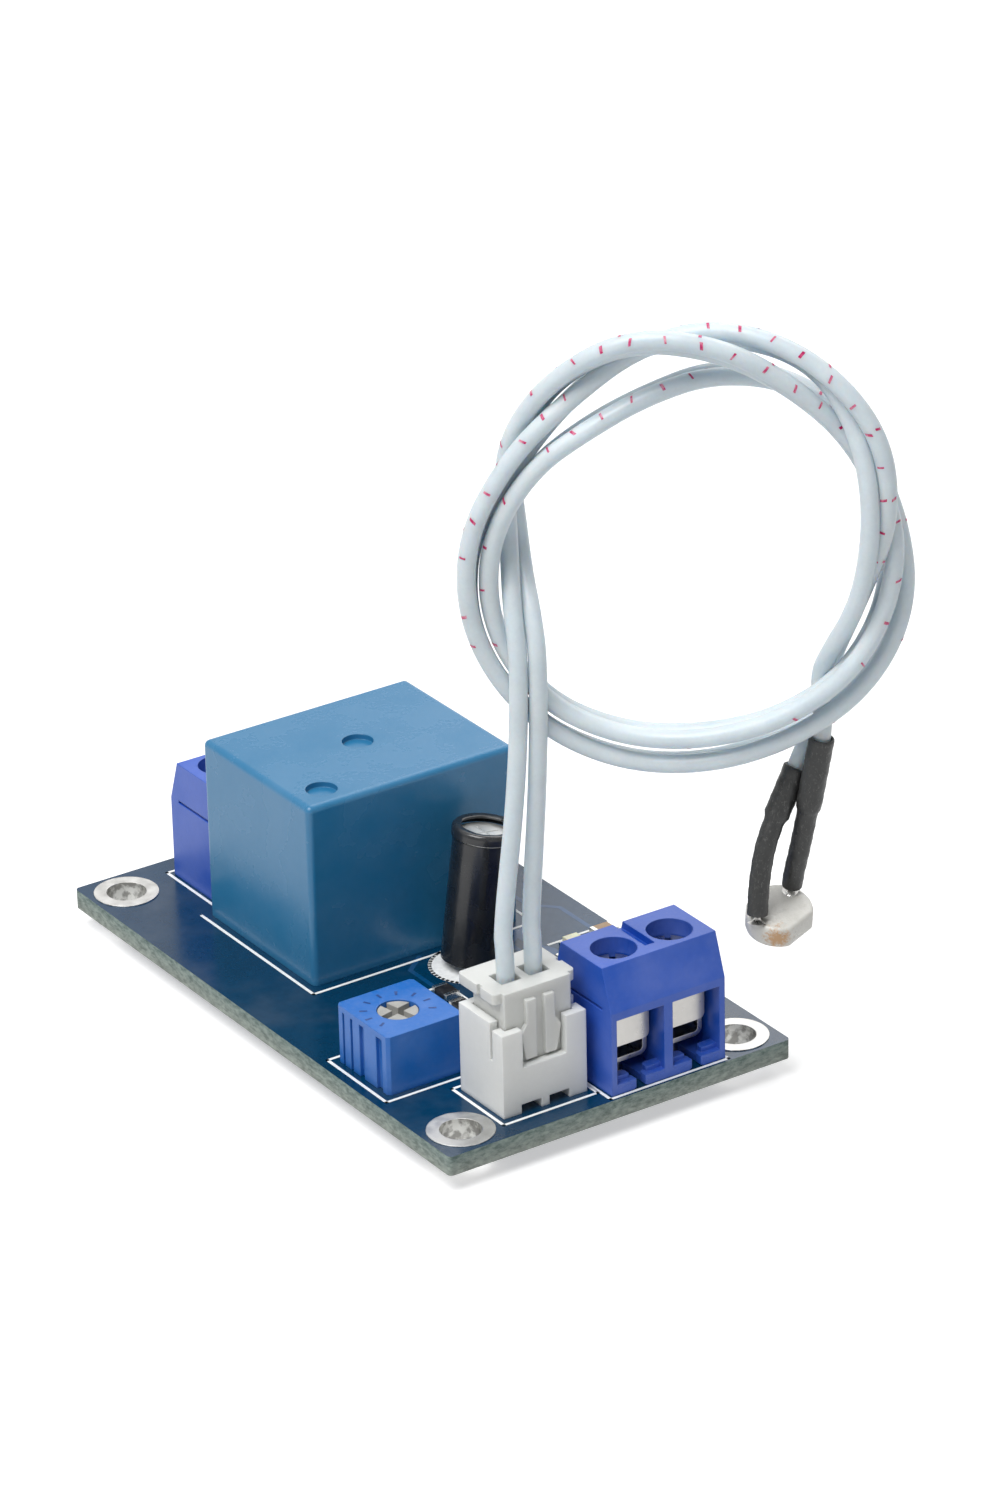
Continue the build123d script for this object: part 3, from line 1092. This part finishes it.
def moulded_body(label, plane, length, width, height):
    """A moulded package whose sides taper up and down from its lead plane."""
    with BuildPart() as body:
        with BuildSketch(plane.offset(height / 2)):
            Rectangle(length, width)
        extrude(amount=height / 2, taper=MOULD_TAPER)
        with BuildSketch(plane.offset(height / 2)):
            Rectangle(length, width)
        extrude(amount=-height / 2, taper=MOULD_TAPER)
    body.part.label = label
    export_step(body.part, f"parts/{label}.step")


moulded_body("diode", diode_plane, DIODE_LENGTH, DIODE_WIDTH, DIODE_HEIGHT)
moulded_body("transistor", transistor_plane, TRANSISTOR_LENGTH, TRANSISTOR_WIDTH, TRANSISTOR_HEIGHT)
moulded_body("comparator", ic_plane, IC_LENGTH, IC_WIDTH, IC_HEIGHT)

# Bent legs of the diode, the transistor and the comparator: each leaves at half height and steps down to its pad
leg_rows = [(ic_plane, IC_WIDTH, IC_HEIGHT, LEG_WIDTH, x, side) for x in IC_LEG_STEPS for side in (-1, 1)]
leg_rows += [(transistor_plane, TRANSISTOR_WIDTH, TRANSISTOR_HEIGHT, LEG_WIDTH, x, -1) for x in TRANSISTOR_LEG_STEPS]
leg_rows += [(transistor_plane, TRANSISTOR_WIDTH, TRANSISTOR_HEIGHT, LEG_WIDTH, 0, 1)]
diode_turned = Plane(diode_plane.origin, x_dir=diode_plane.y_dir, z_dir=diode_plane.z_dir)
leg_rows += [(diode_turned, DIODE_LENGTH, DIODE_HEIGHT, DIODE_LEG_WIDTH, 0, side) for side in (-1, 1)]
with BuildPart() as component_legs:
    for plane, across, height, width, x, side in leg_rows:
        middle = height / 2
        foot = -(plane.origin.Z - BOARD_TOP)
        root = plane.from_local_coords(Vector(x * LEG_PITCH - side * width / 2, side * across / 2, 0))
        with BuildSketch(Plane(root, x_dir=plane.y_dir * side, z_dir=plane.x_dir * side)):
            with BuildLine():
                Polyline(
                    (0, middle + LEG_THICKNESS / 2),
                    (LEG_STEP + LEG_THICKNESS, middle + LEG_THICKNESS / 2),
                    (LEG_STEP + LEG_THICKNESS, foot + LEG_THICKNESS),
                    (LEG_REACH, foot + LEG_THICKNESS),
                    (LEG_REACH, foot),
                    (LEG_STEP, foot),
                    (LEG_STEP, middle - LEG_THICKNESS / 2),
                    (0, middle - LEG_THICKNESS / 2),
                    close=True,
                )
            make_face()
        extrude(amount=width)
component_legs.part.label = "component_legs"
export_step(component_legs.part, "parts/component_legs.step")


def lead_tube(name, points):
    """A round wire through the given points, with each bend as wide as its two runs allow."""
    radii = []
    for before, point, after in zip(points, points[1:], points[2:]):
        turn = (point - before).get_angle(after - point)
        shorter = min((point - before).length, (after - point).length)
        radii.append(LEAD_BEND_SHARE * shorter / math.tan(math.radians(turn / 2)))
    with BuildPart() as tube:
        with BuildLine() as path:
            if radii:
                FilletPolyline(*points, radius=radii)
            else:
                Line(*points)
        with BuildSketch(Plane(points[0], z_dir=points[1] - points[0])):
            Circle(WIRE_RADIUS)
        sweep()
    section = math.pi * WIRE_RADIUS**2
    length = sum(edge.length for edge in path.edges())
    print(name, "bend radii", [round(radius, 1) for radius in radii])
    print(name, "volume over section times length", round(tube.part.volume / section / length, 4))
    tube.part.label = name
    export_step(tube.part, f"parts/{name}.step")
    return length


# The two wires from the plug up to the coil
wire_lengths = {}
for name, side, bends in (("lead_rise_left", -1, RISE_LEFT), ("lead_rise_right", 1, RISE_RIGHT)):
    pin = PLUG_EXIT + Vector(side * CONTACT_PITCH / 2, 0, 0)
    start = pin + Vector(0, 0, WIRE_START - PLUG_TOP)
    first_bend = pin + Vector(0, 0, RISE_STRAIGHT)
    wire_lengths[name] = lead_tube(name, [start, first_bend] + [lead_point(*bend) for bend in bends])

# The coil: the outer shape of the wound lead, a flat upright ring
coil_plane = Plane(lead_point(COIL_ACROSS, COIL_UP, -COIL_HALF_DEPTH), x_dir=LEAD_ACROSS, z_dir=LEAD_BEHIND)
with BuildPart() as lead_coil:
    with BuildSketch(coil_plane):
        SlotCenterToCenter(COIL_STRAIGHT, 2 * COIL_OUTER_RADIUS, rotation=90)
        SlotCenterToCenter(COIL_STRAIGHT, 2 * (COIL_OUTER_RADIUS - COIL_BAND), rotation=90, mode=Mode.SUBTRACT)
    extrude(amount=2 * COIL_HALF_DEPTH)
    coil_rims = lead_coil.faces().filter_by(Axis(coil_plane.origin, LEAD_BEHIND)).edges()
    fillet(coil_rims, COIL_EDGE)
lead_coil.part.label = "lead_coil"
export_step(lead_coil.part, "parts/lead_coil.step")

# The two wires from the coil down into the sleeves
sensor_middle = lead_point(SENSOR_CENTRE[0], SENSOR_CENTRE[1])
for name, sleeve_top, sleeve_end, wire_root in (
    ("lead_tail_left", SLEEVE_LEFT_TOP, SLEEVE_LEFT_END, TAIL_LEFT_ROOT),
    ("lead_tail_right", SLEEVE_RIGHT_TOP, SLEEVE_RIGHT_END, TAIL_RIGHT_ROOT),
):
    top = lead_point(*sleeve_top)
    down = (lead_point(*sleeve_end) - top).normalized()
    wire_end = top + down * SLEEVE_WIRE_REACH
    wire_lengths[name] = lead_tube(name, [top - down * wire_root, wire_end])
print("wire lengths outside the coil", {name: round(length, 1) for name, length in wire_lengths.items()})

# Shrunk sleeves over the joints between wires and sensor leads, wide above and narrow below
sleeve_lines = [(SLEEVE_LEFT_TOP, SLEEVE_LEFT_END), (SLEEVE_RIGHT_TOP, SLEEVE_RIGHT_END)]
with BuildPart() as joint_sleeves:
    for sleeve_top, sleeve_end in sleeve_lines:
        top = lead_point(*sleeve_top)
        run = lead_point(*sleeve_end) - top
        sleeve_plane = Plane(top, z_dir=run)
        with BuildSketch(sleeve_plane):
            Circle(SLEEVE_WIDE_RADIUS)
        extrude(amount=run.length * SLEEVE_STEP)
        with BuildSketch(sleeve_plane):
            Circle(SLEEVE_NARROW_RADIUS)
        extrude(amount=run.length)
        with BuildSketch(sleeve_plane):
            Circle(WIRE_RADIUS)
        extrude(amount=SLEEVE_WIRE_REACH, mode=Mode.SUBTRACT)
        with BuildSketch(sleeve_plane.offset(SLEEVE_WIRE_REACH)):
            Circle(SENSOR_LEAD_RADIUS)
        extrude(amount=run.length - SLEEVE_WIRE_REACH, mode=Mode.SUBTRACT)
joint_sleeves.part.label = "joint_sleeves"
export_step(joint_sleeves.part, "parts/joint_sleeves.step")

# Sensor leads, from inside the sleeves to the back of the sensor
lead_row = LEAD_ACROSS * math.cos(math.radians(SENSOR_RISE)) + Vector(0, 0, math.sin(math.radians(SENSOR_RISE)))
row_normal = Vector(0, 0, math.cos(math.radians(SENSOR_RISE))) - LEAD_ACROSS * math.sin(math.radians(SENSOR_RISE))
sensor_back = row_normal * math.sin(math.radians(SENSOR_TURN)) - LEAD_BEHIND * math.cos(math.radians(SENSOR_TURN))
sensor_plane = Plane(sensor_middle, x_dir=lead_row, z_dir=sensor_back)
with BuildPart() as sensor_leads:
    for sleeve_top, sleeve_end in sleeve_lines:
        top = lead_point(*sleeve_top)
        down = (lead_point(*sleeve_end) - top).normalized()
        start = top + down * SLEEVE_WIRE_REACH
        to_sensor = (sensor_middle - start).dot(sensor_back) / down.dot(sensor_back)
        with BuildSketch(Plane(start, z_dir=down)):
            Circle(SENSOR_LEAD_RADIUS)
        extrude(amount=to_sensor + SENSOR_LEAD_INSERT)
sensor_leads.part.label = "sensor_leads"
export_step(sensor_leads.part, "parts/sensor_leads.step")

# Photo resistor: a ceramic disc with two flats, hung face down with its back towards the leads
with BuildPart() as photo_resistor:
    with BuildSketch(sensor_plane):
        Circle(SENSOR_RADIUS)
        Rectangle(2 * SENSOR_RADIUS, 2 * SENSOR_FLAT, mode=Mode.INTERSECT)
    extrude(amount=-SENSOR_THICKNESS)
    fillet(photo_resistor.faces().sort_by(Axis(sensor_middle, sensor_back))[-1].edges(), SENSOR_RIM)
photo_resistor.part.label = "photo_resistor"
export_step(photo_resistor.part, "parts/photo_resistor.step")
